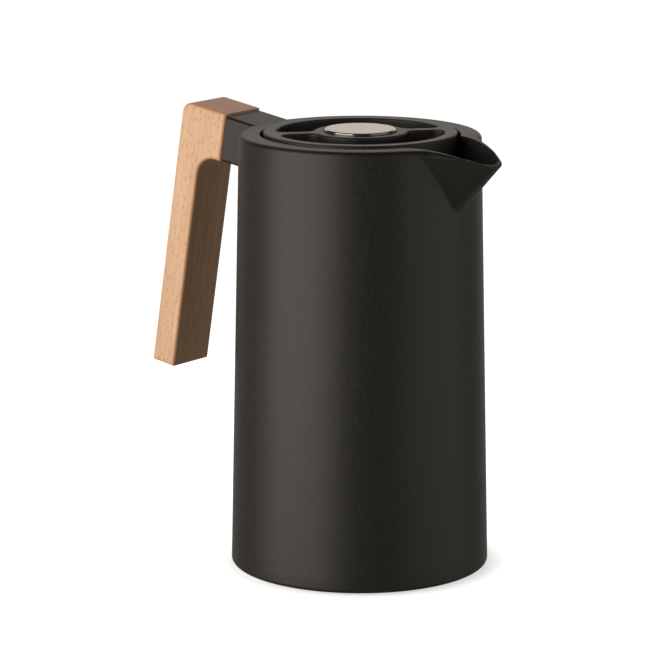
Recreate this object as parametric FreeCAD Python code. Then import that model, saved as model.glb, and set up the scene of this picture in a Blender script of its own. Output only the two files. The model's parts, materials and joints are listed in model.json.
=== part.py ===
import FreeCAD, Part
import math
import os

# Double-walled jug, in millimetres. Z is up, the base stands on z = 0 with the jug's axis on Z,
# the beak points along +X and the handle along -X.

# Outer shell
base_diameter = 125.0
rim_diameter = 115.8
shell_height = 210.0
shell_wall = 2.6
base_round = 2.0
rim_round = 2.4
rim_inner_round = 0.7
rim_width = 10.1
rim_thickness = 2.8
foot_proud = 0.8

# Pouring beak, drawn in plan at the height of its tip and swept along its ridge
beak_overhang = 22.2
beak_drop = 8.3
beak_root_drop = 31.4
beak_half_angle = 30.2
beak_tip_round = 8.5
lip_wall = 1.5
lip_round = 0.8
lip_slope = 16.3
lip_bend = 20.0
lip_lead = 0.2
lip_start_back = 9.9
mouth_bend_back = 16.9
mouth_bend_round = 60.0
mouth_half_width = 23.4
mouth_back = 48.0
beak_back = 43.0

# Neck collar and bowl under the rim
bowl_depth = 23.0
collar_wall = 2.4
bowl_round = 4.0
beak_sill = 2.0
collar_fit = 0.2
neck_hole_clearance = 1.0

# Vacuum flask
flask_wall = 0.8
vacuum_gap = 3.4
flask_clearance = 3.4
neck_radius = 32.0
neck_height = 17.0
neck_round = 4.0
shoulder_flat = 1.0
flask_base_round = 12.0
gasket_thickness = 1.5
gasket_skirt = 3.0
gasket_wall = 1.4
gasket_fit = 0.1

# Base
pad_margin = 12.5
pad_thickness = 2.0
pad_edge_round = 0.4
pad_fit = 0.2
cover_recess = 0.4
cover_thickness = 2.4
cover_fit = 0.2
cushion_margin = 0.9
cushion_width = 14.0
cushion_height = 4.6
cushion_round = 1.0
fence_wall = 2.0
fence_height = 2.5
base_screw_count = 3
base_screw_inset = 4.4
base_screw_radius = 1.5
base_screw_length = 9.0
base_head_radius = 2.6
base_head_height = 1.6
base_boss_wall = 1.9
base_boss_height = 10.0
screw_fit = 0.1

# Handle: a runs from the outer top corner of the grip towards the jug, b runs down the leg
handle_standoff = 39.9
handle_rise = 8.5
handle_lean = 9.28
grip_thickness = 13.7
grip_width = 27.8
grip_length = 134.2
stub_length = 26.8
stub_depth = 24.0
grip_outer_round = 5.5
grip_inner_round = 9.5
grip_edge_round = 2.8
joint_gap = 0.5
arm_width = 26.8
arm_top_step = 1.0
arm_bottom_step = 0.2
arm_edge_round = 1.8
arm_wall = 2.4
arm_end_wall = 4.0
tenon_length = 6.0
tenon_width = 12.0
tenon_height = 15.0
tenon_fit = 0.15
handle_screw_spacing = 8.0
handle_screw_radius = 2.0
handle_head_radius = 3.5
handle_head_height = 2.6
insert_radius = 2.9
insert_length = 9.0
insert_spare = 1.0
washer_radius = 3.9
washer_thickness = 0.8

# Lid
lid_gap = 1.4
lid_proud = 1.1
lid_edge_round = 1.0
lid_skirt = 19.0
lid_wall = 2.2
pocket_ring = 6.2
pocket_depth = 8.0
pocket_corner_round = 5.0
pocket_floor_round = 2.0
pocket_edge_round = 1.2
bar_width = 6.5
bar_turn = 48.0
boss_radius = 22.5
snap_height = 1.0
snap_depth = 0.6

# Stopper under the lid
flange_thickness = 2.4
flange_fit = 0.3
plug_clearance = 2.6
plug_wall = 2.4
plug_depth = 21.0
seat_width = 14.0
port_count = 6
port_width = 16.0
port_sill = 1.5
port_head = 1.0
seal_height = 5.0
seal_drop = 10.0
seal_gap = 0.3
seal_rib = 1.4
seal_rib_height = 1.5
well_radius = 9.5
well_depth = 10.1
well_wall = 2.2
well_floor = 5.0
ring_section = 1.5
ring_fit = 0.05

# Button, spring and valve
button_radius = 17.0
button_gap = 0.4
button_proud = 1.3
button_sheet = 1.0
button_bevel = 0.5
button_bevel_drop = 0.5
button_height = 3.0
button_travel = 4.5
travel_clearance = 0.9
core_stop = 8.4
core_flange = 2.1
core_flange_height = 2.0
core_fit = 0.1
core_clearance = 0.2
ledge_clearance = 0.7
hub_radius = 5.5
hub_drop = 5.0
stem_radius = 3.0
stem_socket = 4.0
guide_fit = 0.3
spring_radius = 7.6
spring_wire = 1.1
spring_turns = 5
spring_seat_rise = 1.4
points_per_turn = 36
valve_radius = 20.5
valve_thickness = 2.6
valve_seal_height = 2.0
valve_seal_width = 4.4
valve_seal_inset = 0.3
tail_radius = 2.3
tail_length = 5.0
clip_thickness = 0.8
clip_radius = 4.0
clip_groove = 0.6
clip_slot = 2.6

# Margin by which cutting bodies pass the faces that they cut, and the lengths that count as touching
past = 10.0
near = 0.05
tiny = 0.00005

# Heights and radii that follow from the sizes above
base_radius = base_diameter / 2
rim_radius = rim_diameter / 2
rim_z = foot_proud + shell_height
flange_under_z = rim_z - rim_thickness
collar_radius = rim_radius - rim_width
collar_outer = collar_radius + collar_wall
bowl_z = rim_z - bowl_depth
deck_z = bowl_z - collar_wall
lip_z = deck_z - gasket_thickness
sill_z = bowl_z + beak_sill
pad_radius = base_radius - pad_margin
cover_z = foot_proud + cover_recess
cover_top_z = pad_thickness + cover_thickness
flask_z = cover_top_z + cushion_height
shoulder_z = lip_z - neck_height
neck_outer = neck_radius + flask_wall
outer_neck = neck_outer + vacuum_gap / 2 + flask_wall
lid_z = rim_z + lid_proud
lid_radius = collar_radius - lid_gap
skirt_inner = lid_radius - lid_wall
pocket_radius = lid_radius - pocket_ring
pocket_z = lid_z - pocket_depth
button_z = lid_z + button_proud
ledge_z = button_z - core_stop
flange_top_z = ledge_z - core_flange_height - button_travel - travel_clearance
plug_top_z = flange_top_z - flange_thickness
plug_radius = neck_radius - plug_clearance
plug_z = bowl_z - plug_depth
well_floor_z = flange_top_z - well_depth
cap_low_z = button_z - button_height
bore_radius = button_radius + button_gap
core_flange_radius = button_radius - core_clearance + core_flange
ledge_radius = core_flange_radius + ledge_clearance
spring_seat_z = ledge_z - core_flange_height + spring_seat_rise
valve_top_z = plug_z - valve_seal_height
valve_z = valve_top_z - valve_thickness
handle_corner_r = rim_radius + handle_standoff
handle_corner_z = rim_z + handle_rise
arm_start = stub_length + joint_gap
arm_low = stub_depth - arm_bottom_step
arm_middle = (arm_top_step + arm_low) / 2
head_seat = arm_start + arm_end_wall


def vector(x, y, z):
    return FreeCAD.Vector(x, y, z)


def shell_radius(z):
    """Outer radius of the tapered shell at a height."""
    return base_radius + (rim_radius - base_radius) * (z - foot_proud) / shell_height


def shell_inner(z):
    return shell_radius(z) - shell_wall


def rounded_wire(corners, place):
    """Closed wire through 2-D corners, each with an optional radius; place turns (p, q) into a point."""
    enters, middles, leaves = [], [], []
    flat = [vector(corner[0], corner[1], 0) for corner in corners]
    for index, corner in enumerate(corners):
        here = flat[index]
        radius = corner[2] if len(corner) > 2 else 0
        back = (flat[index - 1] - here).normalize()
        ahead = (flat[(index + 1) % len(flat)] - here).normalize()
        half = back.getAngle(ahead) / 2
        reach = radius / math.tan(half)
        enters.append(here + back * reach)
        leaves.append(here + ahead * reach)
        inward = (back + ahead).normalize() if radius else vector(0, 0, 0)
        middles.append(here + inward * (radius / math.sin(half) - radius))
    edges = []
    for index, corner in enumerate(corners):
        enter = place(enters[index].x, enters[index].y)
        leave = place(leaves[index].x, leaves[index].y)
        after = enters[(index + 1) % len(enters)]
        following = place(after.x, after.y)
        if len(corner) > 2:
            middle = place(middles[index].x, middles[index].y)
            edges.append(Part.Arc(enter, middle, leave).toShape())
        if leave.distanceToPoint(following) > tiny:
            edges.append(Part.LineSegment(leave, following).toShape())
    return Part.Wire(edges)


def revolved(corners):
    """Solid turned about Z from corners in radius and height."""
    wire = rounded_wire(corners, lambda r, z: vector(r, 0, z))
    return Part.Face(wire).revolve(vector(0, 0, 0), vector(0, 0, 1), 360)


def cylinder(radius, low, high, x=0, y=0):
    return Part.makeCylinder(radius, high - low, vector(x, y, low))


def tube(inner, outer, low, high, x=0, y=0):
    return cylinder(outer, low, high, x, y).cut(cylinder(inner, low - past, high + past, x, y))


def box(x_low, x_high, width, z_low, z_high):
    """Box centred on the XZ plane."""
    return Part.makeBox(x_high - x_low, width, z_high - z_low, vector(x_low, -width / 2, z_low))


def turned(shape, degrees):
    """Copy of a shape turned about Z."""
    copy = shape.copy()
    copy.rotate(vector(0, 0, 0), vector(0, 0, 1), degrees)
    return copy


def filleted(shape, radius, wanted):
    """Shape with every edge rounded that the test picks."""
    return shape.makeFillet(radius, [edge for edge in shape.Edges if wanted(edge)])


# Places of the beak, the handle, the base screws and the flask, which follow from the shell's taper
tip_u = rim_radius + beak_overhang
tip_z = rim_z - beak_drop
root_z = rim_z - beak_root_drop
ridge_step = vector((tip_u - shell_radius(root_z)) / (tip_z - root_z), 0, 1)
half_angle = math.radians(beak_half_angle)
beak_apex_u = tip_u + beak_tip_round * (1 / math.sin(half_angle) - 1)
channel_apex_u = beak_apex_u - lip_wall / math.sin(half_angle)
lean = math.radians(handle_lean)
arm_end = (handle_corner_r - collar_outer - collar_fit - shell_wall) / math.cos(lean)
base_screw_reach = shell_inner(cover_top_z) - base_screw_inset
outer_radius = min(shell_inner(flask_z), shell_inner(shoulder_z)) - flask_clearance
inner_radius = outer_radius - flask_wall - vacuum_gap
inner_shoulder_z = shoulder_z - flask_wall - vacuum_gap
inner_flask_z = flask_z + flask_wall + vacuum_gap
cushion_radius = outer_radius - flask_base_round - cushion_margin


def along_ridge(corners, low, high):
    """Plan outline, drawn at the height of the tip, swept along the ridge between two heights."""
    wire = rounded_wire(corners, lambda u, v: vector(u, v, tip_z) + ridge_step * (high - tip_z))
    return Part.Face(wire).extrude(ridge_step * (low - high))


def above_lip():
    """Space above the lip, which dips from the rim to the tip."""
    slope = math.radians(lip_slope)
    start_u = rim_radius - lip_start_back
    start_z = rim_z + lip_lead
    first_u = start_u + lip_bend * math.tan(slope / 2)
    second_u = first_u + (start_z - tip_z) / math.tan(slope)
    far_u = tip_u + 3 * past
    corners = [
        (start_u, start_z),
        (first_u, start_z, lip_bend),
        (second_u, tip_z, lip_bend),
        (far_u, tip_z),
        (far_u, start_z + past),
        (start_u, start_z + past),
    ]
    wire = rounded_wire(corners, lambda u, z: vector(u, -base_radius, z))
    return Part.Face(wire).extrude(vector(0, base_diameter, 0))


def on_lip_outside(edge):
    """True for the edges where the beak's lip meets its outside."""
    middle = edge.valueAt((edge.FirstParameter + edge.LastParameter) / 2)
    plan = middle - ridge_step * (middle.z - tip_z)
    tip_centre_u = tip_u - beak_tip_round
    off_side = (beak_apex_u - plan.x) * math.sin(half_angle) - abs(plan.y) * math.cos(half_angle)
    off_tip = math.hypot(plan.x - tip_centre_u, plan.y) - beak_tip_round
    return edge.BoundBox.ZMin > tip_z - near and min(abs(off_side), abs(off_tip)) < near


def beak_block():
    """Outside of the beak, from its lip down to the middle of the shell's wall at its root."""
    back_u = tip_u - beak_back
    back_v = math.tan(half_angle) * (beak_apex_u - back_u)
    corners = [(beak_apex_u, 0, beak_tip_round), (back_u, back_v), (back_u, -back_v)]
    root_low = root_z - shell_wall / 2 / ridge_step.x
    inside = Part.makeCone(shell_inner(0), shell_inner(deck_z), deck_z)
    block = along_ridge(corners, root_low, rim_z).cut(inside)
    block = block.cut(cylinder(collar_outer + collar_fit, 0, rim_z + past))
    return filleted(block.cut(above_lip()), lip_round, on_lip_outside)


def beak_channel(low, high):
    """Space inside the beak, open to the bowl."""
    bend_u = tip_u - mouth_bend_back
    bend_v = math.tan(half_angle) * (channel_apex_u - bend_u)
    back_u = tip_u - mouth_back
    corners = [
        (channel_apex_u, 0, beak_tip_round),
        (bend_u, bend_v, mouth_bend_round),
        (back_u, mouth_half_width),
        (back_u, -mouth_half_width),
        (bend_u, -bend_v, mouth_bend_round),
    ]
    return along_ridge(corners, low, high)


def handle_point(a, b, y=0):
    """Point on the handle, from its distance towards the jug and down the leg."""
    r = handle_corner_r - a * math.cos(lean) + b * math.sin(lean)
    z = handle_corner_z - a * math.sin(lean) - b * math.cos(lean)
    return vector(-r, y, z)


towards_jug = handle_point(1, 0) - handle_point(0, 0)


def handle_slab(corners, width):
    """Solid of a handle outline in a and b, centred on the XZ plane."""
    wire = rounded_wire(corners, lambda a, b: handle_point(a, b, -width / 2))
    return Part.Face(wire).extrude(vector(0, width, 0))


def handle_block(a_low, a_high, b_low, b_high, width):
    return handle_slab([(a_low, b_low), (a_high, b_low), (a_high, b_high), (a_low, b_high)], width)


def handle_rods(radius, a_low, a_high):
    """Pair of round bars along the arm, one on each screw's axis."""
    rods = []
    for side in (-1, 1):
        b = arm_middle + side * handle_screw_spacing / 2
        rods.append(Part.makeCylinder(radius, a_high - a_low, handle_point(a_low, b), towards_jug))
    return rods


def cut_all(shape, tools):
    for tool in tools:
        shape = shape.cut(tool)
    return shape


# Jug body
def wall_of_revolution():
    return revolved([
        (shell_inner(foot_proud), foot_proud),
        (shell_radius(foot_proud), foot_proud, base_round),
        (shell_radius(rim_z), rim_z, rim_round),
        (collar_radius, rim_z, rim_inner_round),
        (collar_radius, flange_under_z),
        (shell_inner(flange_under_z), flange_under_z),
    ])


def runs_along_arm(edge):
    return abs(edge.tangentAt(edge.FirstParameter).dot(towards_jug)) > 1 - near


def arm_block():
    """Outside of the handle's arm, with its long edges rounded, trimmed to the inside of the shell."""
    block = handle_block(arm_start, arm_end, arm_top_step, arm_low, arm_width)
    block = filleted(block, arm_edge_round, runs_along_arm)
    inside = Part.makeCone(shell_inner(0), shell_inner(flange_under_z), flange_under_z)
    return block.cut(inside)


def arm_tenon():
    low = arm_middle - tenon_height / 2
    return handle_block(arm_start - tenon_length, arm_start + near, low, low + tenon_height, tenon_width)


def around_base(shape):
    """Copies of a shape round the axis, one for each base screw, the first at the handle's side."""
    step = 360 / base_screw_count
    return [turned(shape, 180 + step * index) for index in range(base_screw_count)]


def base_boss():
    """Screw boss on the inside of the shell, joined to the wall by a web."""
    radius = base_screw_radius + base_boss_wall
    top = cover_top_z + base_boss_height
    web = box(base_screw_reach, shell_inner(top) + shell_wall / 2, 2 * radius, cover_top_z, top)
    boss = cylinder(radius, cover_top_z, top, base_screw_reach).fuse(web)
    return boss.cut(cylinder(base_screw_radius + screw_fit, 0, top + past, base_screw_reach))


def outer_shell():
    shell = wall_of_revolution().fuse(beak_block()).fuse(arm_block())
    shell = shell.cut(beak_channel(sill_z, rim_z + past))
    shell = shell.cut(beak_channel(root_z - past, sill_z - collar_wall))
    shell = shell.cut(above_lip())
    cavity_low = arm_low - arm_wall
    cavity = handle_block(head_seat, arm_end, arm_top_step + arm_wall, cavity_low, arm_width - 2 * arm_wall)
    shell = shell.cut(cavity).fuse(arm_tenon())
    shell = cut_all(shell, handle_rods(handle_screw_radius + screw_fit, 0, arm_end))
    for boss in around_base(base_boss()):
        shell = shell.fuse(boss)
    return shell.removeSplitter()


def neck_collar():
    collar = revolved([
        (collar_radius, flange_under_z),
        (collar_outer, flange_under_z),
        (collar_outer, deck_z, bowl_round),
        (neck_radius + neck_hole_clearance, deck_z),
        (neck_radius + neck_hole_clearance, bowl_z),
        (collar_radius, bowl_z, bowl_round),
    ])
    return collar.cut(beak_channel(sill_z, rim_z + past))


def flask_outline(radius, low, shoulder, neck, inset):
    """Half outline of a flask wall up to its neck, moved inwards by an inset."""
    shoulder_round = radius - neck - neck_round - shoulder_flat
    return [
        (0, low + inset),
        (radius - inset, low + inset, flask_base_round - inset),
        (radius - inset, shoulder - inset, shoulder_round - inset),
        (neck - inset, shoulder - inset, neck_round + inset),
    ]


def flask_outer():
    outside = flask_outline(outer_radius, flask_z, shoulder_z, outer_neck, 0)
    inside = flask_outline(outer_radius, flask_z, shoulder_z, outer_neck, flask_wall)
    top = lip_z - flask_wall
    return revolved(outside + [(outer_neck, top), (outer_neck - flask_wall, top)] + inside[::-1])


def flask_inner():
    """Inner wall, with a flat lip that turns out over the outer wall's neck."""
    outside = flask_outline(inner_radius, inner_flask_z, inner_shoulder_z, neck_outer, 0)
    inside = flask_outline(inner_radius, inner_flask_z, inner_shoulder_z, neck_outer, flask_wall)
    under = lip_z - flask_wall
    lip = [(neck_outer, under), (outer_neck, under), (outer_neck, lip_z), (neck_radius, lip_z)]
    return revolved(outside + lip + inside[::-1])


def neck_gasket():
    grip = outer_neck + gasket_fit
    return revolved([
        (neck_radius + gasket_fit, lip_z),
        (grip, lip_z),
        (grip, lip_z - gasket_skirt),
        (grip + gasket_wall, lip_z - gasket_skirt),
        (grip + gasket_wall, deck_z),
        (neck_radius + gasket_fit, deck_z),
    ])


def flask_cushion():
    inner = cushion_radius - cushion_width
    return revolved([
        (inner, cover_top_z),
        (cushion_radius, cover_top_z),
        (cushion_radius, flask_z, cushion_round),
        (inner, flask_z, cushion_round),
    ])


def base_cover():
    recess = pad_radius + pad_fit
    edge = shell_inner(cover_top_z) - cover_fit
    fence = cushion_radius + pad_fit
    fence_z = cover_top_z + fence_height
    cover = revolved([
        (0, pad_thickness),
        (recess, pad_thickness),
        (recess, cover_z),
        (edge, cover_z),
        (edge, cover_top_z),
        (fence + fence_wall, cover_top_z),
        (fence + fence_wall, fence_z),
        (fence, fence_z),
        (fence, cover_top_z),
        (0, cover_top_z),
    ])
    hole = cylinder(base_screw_radius + screw_fit, 0, cover_top_z + past, base_screw_reach)
    counterbore = cylinder(base_head_radius + screw_fit, 0, cover_z + base_head_height, base_screw_reach)
    return cut_all(cover, around_base(hole.fuse(counterbore)))


def base_screws():
    seat = cover_z + base_head_height
    screw = cylinder(base_head_radius, cover_z, seat, base_screw_reach)
    shank = cylinder(base_screw_radius, seat, seat + base_screw_length, base_screw_reach)
    return Part.makeCompound(around_base(screw.fuse(shank)))


def anti_slip_pad():
    return revolved([
        (0, 0),
        (pad_radius, 0, pad_edge_round),
        (pad_radius, pad_thickness),
        (0, pad_thickness),
    ])


# Handle pieces
def handle_grip():
    corners = [
        (0, 0, grip_outer_round),
        (stub_length, 0),
        (stub_length, stub_depth),
        (grip_thickness, stub_depth, grip_inner_round),
        (grip_thickness, grip_length),
        (0, grip_length),
    ]
    grip = handle_slab(corners, grip_width)
    half = grip_width / 2
    grip = filleted(grip, grip_edge_round, lambda edge: on_grip_edge(edge, half))
    low = arm_middle - tenon_height / 2 - tenon_fit
    mortise = handle_block(
        arm_start - tenon_length, arm_start + past, low, low + tenon_height + 2 * tenon_fit,
        tenon_width + 2 * tenon_fit,
    )
    floor = arm_start - tenon_length
    return cut_all(grip.cut(mortise), handle_rods(insert_radius, floor - insert_length, floor + past))


def on_grip_edge(edge, half):
    """True for the edges round the two side faces of the grip, but not where it meets the arm."""
    box_of = edge.BoundBox
    on_side = abs(box_of.YMax - box_of.YMin) < near and abs(abs(box_of.YMax) - half) < near
    joint_x = handle_point(stub_length, 0).x
    return on_side and box_of.XMin < joint_x - near


def grip_inserts():
    floor = arm_start - tenon_length
    bodies = handle_rods(insert_radius, floor - insert_length, floor)
    bores = handle_rods(handle_screw_radius + screw_fit / 2, floor - insert_length - past, floor + past)
    return Part.makeCompound([body.cut(bore) for body, bore in zip(bodies, bores)])


def handle_screws():
    head_low = head_seat + washer_thickness
    tip = arm_start - tenon_length - insert_length + insert_spare
    heads = handle_rods(handle_head_radius, head_low, head_low + handle_head_height)
    shanks = handle_rods(handle_screw_radius, tip, head_low)
    return Part.makeCompound([head.fuse(shank) for head, shank in zip(heads, shanks)])


def handle_washers():
    rings = handle_rods(washer_radius, head_seat, head_seat + washer_thickness)
    bores = handle_rods(handle_screw_radius + screw_fit, 0, arm_end)
    return Part.makeCompound([ring.cut(bore) for ring, bore in zip(rings, bores)])


# Lid
def finger_pockets():
    """Two half-moon pockets, one on each side of the grip bar."""
    top = lid_z + past
    space = tube(boss_radius, pocket_radius, pocket_z, top)
    space = space.cut(box(-base_radius, base_radius, bar_width, 0, top + past))
    pockets = []
    for half in space.Solids:
        half = filleted(half, pocket_corner_round, lambda edge: edge.BoundBox.ZLength > pocket_depth)
        half = filleted(half, pocket_floor_round, lambda edge: edge.BoundBox.ZMax < pocket_z + near)
        pockets.append(turned(half, bar_turn))
    return pockets


def lid_cover():
    ring_under = lid_z - lid_wall
    wall_outer = pocket_radius + lid_wall
    skirt_z = lid_z - lid_skirt
    deck_under = pocket_z - lid_wall
    cover = revolved([
        (bore_radius, lid_z, lid_edge_round / 2),
        (lid_radius, lid_z, lid_edge_round),
        (lid_radius, skirt_z),
        (skirt_inner, skirt_z),
        (skirt_inner - snap_depth, plug_top_z - snap_height),
        (skirt_inner - snap_depth, plug_top_z),
        (skirt_inner, plug_top_z),
        (skirt_inner, ring_under),
        (wall_outer, ring_under),
        (wall_outer, flange_top_z),
        (pocket_radius, flange_top_z),
        (pocket_radius, deck_under),
        (ledge_radius, deck_under),
        (ledge_radius, ledge_z),
        (bore_radius, ledge_z),
    ])
    cover = cut_all(cover, finger_pockets())
    return filleted(cover, pocket_edge_round, on_pocket_edge)


def on_pocket_edge(edge):
    """True for the top edges of the finger pockets."""
    box_of = edge.BoundBox
    flat = box_of.ZMin > lid_z - near
    middle = edge.valueAt((edge.FirstParameter + edge.LastParameter) / 2)
    reach = math.hypot(middle.x, middle.y)
    return flat and boss_radius - near < reach < pocket_radius + near


def stopper_body():
    guide = stem_radius + guide_fit
    groove = stem_radius + ring_fit + ring_section + ring_fit
    groove_low = well_floor_z - well_floor / 2 - ring_section / 2 - ring_fit
    groove_high = well_floor_z - well_floor / 2 + ring_section / 2 + ring_fit
    well_low = well_floor_z - well_floor
    seal_top = bowl_z - seal_drop
    seal_low = seal_top - seal_height
    rib = plug_radius + seal_rib
    seat = plug_radius - seat_width
    seat_top = plug_z + plug_wall
    plug_inner = plug_radius - plug_wall
    body = revolved([
        (guide, well_low),
        (guide, groove_low),
        (groove, groove_low),
        (groove, groove_high),
        (guide, groove_high),
        (guide, well_floor_z),
        (well_radius, well_floor_z),
        (well_radius, flange_top_z),
        (skirt_inner - flange_fit, flange_top_z),
        (skirt_inner - flange_fit, plug_top_z),
        (plug_radius, plug_top_z),
        (plug_radius, seal_top + seal_rib_height),
        (rib, seal_top + seal_rib_height),
        (rib, seal_top),
        (plug_radius, seal_top),
        (plug_radius, seal_low),
        (rib, seal_low),
        (rib, seal_low - seal_rib_height),
        (plug_radius, seal_low - seal_rib_height),
        (plug_radius, plug_z),
        (seat, plug_z),
        (seat, seat_top),
        (plug_inner, seat_top),
        (plug_inner, plug_top_z),
        (well_radius + well_wall, plug_top_z),
        (well_radius + well_wall, well_low),
    ])
    port_low, port_high = bowl_z + port_sill, plug_top_z - port_head
    port = box(plug_inner - plug_wall, plug_radius + plug_wall, port_width, port_low, port_high)
    ports = [turned(port, 360 / port_count * index) for index in range(port_count)]
    return cut_all(body, ports)


def stopper_seal():
    top = bowl_z - seal_drop
    inner = plug_radius + seal_gap
    outer = neck_radius - seal_gap
    return tube(inner, outer, top - seal_height, top)


# Button, spring and valve
def button_cap():
    skirt = button_radius - button_sheet
    return revolved([
        (0, button_z),
        (button_radius - button_bevel, button_z),
        (button_radius, button_z - button_bevel_drop),
        (button_radius, cap_low_z),
        (skirt, cap_low_z),
        (skirt, button_z - button_sheet - button_bevel_drop),
        (skirt - button_bevel, button_z - button_sheet),
        (0, button_z - button_sheet),
    ])


def button_core():
    inside = button_radius - button_sheet - core_fit
    under_cap = button_z - button_sheet
    shoulder = under_cap - button_bevel_drop
    flange_low = ledge_z - core_flange_height
    return revolved([
        (stem_radius, ledge_z - hub_drop),
        (hub_radius, ledge_z - hub_drop),
        (hub_radius, spring_seat_z),
        (well_radius, spring_seat_z),
        (well_radius, flange_low),
        (core_flange_radius, flange_low),
        (core_flange_radius, ledge_z),
        (button_radius - core_clearance, ledge_z),
        (button_radius - core_clearance, cap_low_z),
        (inside, cap_low_z),
        (inside, shoulder),
        (inside - button_bevel, under_cap),
        (0, under_cap),
        (0, ledge_z + stem_socket),
        (stem_radius, ledge_z + stem_socket),
    ])


def helix_point(turn):
    """Centre of the spring's wire after a number of turns."""
    angle = 2 * math.pi * turn
    low = well_floor_z + spring_wire / 2
    rise = spring_seat_z - spring_wire / 2 - low
    height = low + rise * turn / spring_turns
    return vector(spring_radius * math.cos(angle), spring_radius * math.sin(angle), height)


def helix_tangent(turn):
    step = tiny
    return (helix_point(turn + step) - helix_point(turn - step)).normalize()


def arc_from(start, tangent, end):
    """Arc between two points that leaves the first along a tangent."""
    chord = end - start
    control = start + tangent * (chord.dot(chord) / (2 * chord.dot(tangent)))
    weight = chord.Length / 2 / (control - start).Length
    middle = (start + control * (2 * weight) + end) * (1 / (2 + 2 * weight))
    return Part.Arc(start, middle, end).toShape()


def biarc(start, start_tangent, end, end_tangent):
    """Two tangent arcs from one point and direction to another."""
    chord = end - start
    spread = 2 * (1 - start_tangent.dot(end_tangent))
    along = chord.dot(start_tangent + end_tangent)
    reach = (math.sqrt(along * along + spread * chord.dot(chord)) - along) / spread
    first_corner = start + start_tangent * reach
    last_corner = end - end_tangent * reach
    across = last_corner - first_corner
    joint = first_corner + across * 0.5
    return [arc_from(start, start_tangent, joint), arc_from(joint, across.normalize(), end)]


def button_spring():
    """Coil of quarter-turn biarcs between the well's floor and the plunger."""
    edges = []
    quarters = 4 * spring_turns
    for quarter in range(quarters):
        low, high = quarter / 4, (quarter + 1) / 4
        edges += biarc(helix_point(low), helix_tangent(low), helix_point(high), helix_tangent(high))
    path = Part.Wire(edges)
    profile = Part.Wire([Part.makeCircle(spring_wire / 2, helix_point(0), helix_tangent(0))])
    coil = path.makePipeShell([profile], True, False)
    print("smallest gap between the spring's turns, mm:", round(turn_gap(path), 2))
    section = math.pi * spring_wire ** 2 / 4
    filled = coil.Volume / (section * path.Length)
    print("spring's volume over its section times its length:", round(filled, 4))
    return coil


def turn_gap(path):
    """Smallest gap between two turns, measured between points along the wire's centre line."""
    points = path.discretize(Number=points_per_turn * spring_turns + 1)
    apart = points_per_turn // 2
    distances = []
    for index, point in enumerate(points):
        distances += [point.distanceToPoint(other) for other in points[index + apart:]]
    return min(distances) - spring_wire


def valve_stem():
    """Rod with a thinner tail that carries the valve disc above a clip groove."""
    clip_top = valve_z
    clip_low = valve_z - clip_thickness
    return revolved([
        (0, valve_z - tail_length + valve_thickness),
        (tail_radius, valve_z - tail_length + valve_thickness),
        (tail_radius, clip_low),
        (tail_radius - clip_groove, clip_low),
        (tail_radius - clip_groove, clip_top),
        (tail_radius, clip_top),
        (tail_radius, valve_top_z),
        (stem_radius, valve_top_z),
        (stem_radius, ledge_z + stem_socket),
        (0, ledge_z + stem_socket),
    ])


def valve_disc():
    return tube(tail_radius + ring_fit, valve_radius, valve_z, valve_top_z)


def valve_seal():
    outer = valve_radius - valve_seal_inset
    return tube(outer - valve_seal_width, outer, valve_top_z, plug_z)


def stem_o_ring():
    middle = stem_radius + ring_fit + ring_section / 2
    return Part.makeTorus(middle, ring_section / 2, vector(0, 0, well_floor_z - well_floor / 2))


def stem_clip():
    """Open ring in the groove of the stem's tail."""
    ring = tube(tail_radius - clip_groove + ring_fit, clip_radius, valve_z - clip_thickness, valve_z)
    return ring.cut(box(0, clip_radius + past, clip_slot, valve_z - past, valve_z + past))


os.makedirs("parts", exist_ok=True)
for make in (
    outer_shell, neck_collar, flask_outer, flask_inner, neck_gasket, flask_cushion, base_cover,
    base_screws, anti_slip_pad, handle_grip, grip_inserts, handle_screws, handle_washers,
    lid_cover, stopper_body, stopper_seal, button_cap, button_core, button_spring,
    valve_stem, valve_disc, valve_seal, stem_o_ring, stem_clip,
):
    make().exportStep("parts/" + make.__name__ + ".step")
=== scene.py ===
import json
import math

import bmesh
import bpy
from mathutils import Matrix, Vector


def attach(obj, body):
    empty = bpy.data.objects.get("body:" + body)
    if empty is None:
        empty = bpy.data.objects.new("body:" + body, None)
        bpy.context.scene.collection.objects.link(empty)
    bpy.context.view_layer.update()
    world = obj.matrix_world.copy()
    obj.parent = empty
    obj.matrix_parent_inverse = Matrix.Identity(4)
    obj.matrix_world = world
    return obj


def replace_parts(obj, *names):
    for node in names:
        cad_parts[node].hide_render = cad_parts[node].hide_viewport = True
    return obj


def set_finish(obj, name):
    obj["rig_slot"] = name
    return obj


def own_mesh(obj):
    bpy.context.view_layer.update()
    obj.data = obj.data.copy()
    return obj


# Double-walled jug with its finishes, in metres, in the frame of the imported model:
# Z is up, the beak points along +X and the handle along -X.

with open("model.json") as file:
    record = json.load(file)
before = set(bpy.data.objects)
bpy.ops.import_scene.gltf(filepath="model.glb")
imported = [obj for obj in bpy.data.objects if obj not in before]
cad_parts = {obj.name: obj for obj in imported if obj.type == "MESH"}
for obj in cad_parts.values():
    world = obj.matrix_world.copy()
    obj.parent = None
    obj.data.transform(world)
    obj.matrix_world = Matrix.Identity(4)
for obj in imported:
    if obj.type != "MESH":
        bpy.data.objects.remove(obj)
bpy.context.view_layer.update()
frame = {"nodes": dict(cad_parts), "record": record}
mm = 0.001

# Outer shell
base_radius = 62.49 * mm
rim_radius = 57.9 * mm
foot_z = 0.8 * mm
foot_flat = 4.0 * mm
rim_z = 210.8 * mm
shell_wall = 2.6 * mm
base_round = 2.0 * mm
rim_round = 2.4 * mm
rim_inner_round = 0.7 * mm
collar_radius = 47.8 * mm
collar_outside = 50.4 * mm
flange_under_z = 208.0 * mm
sill_z = 189.8 * mm
sill_under_z = 187.4 * mm

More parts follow.
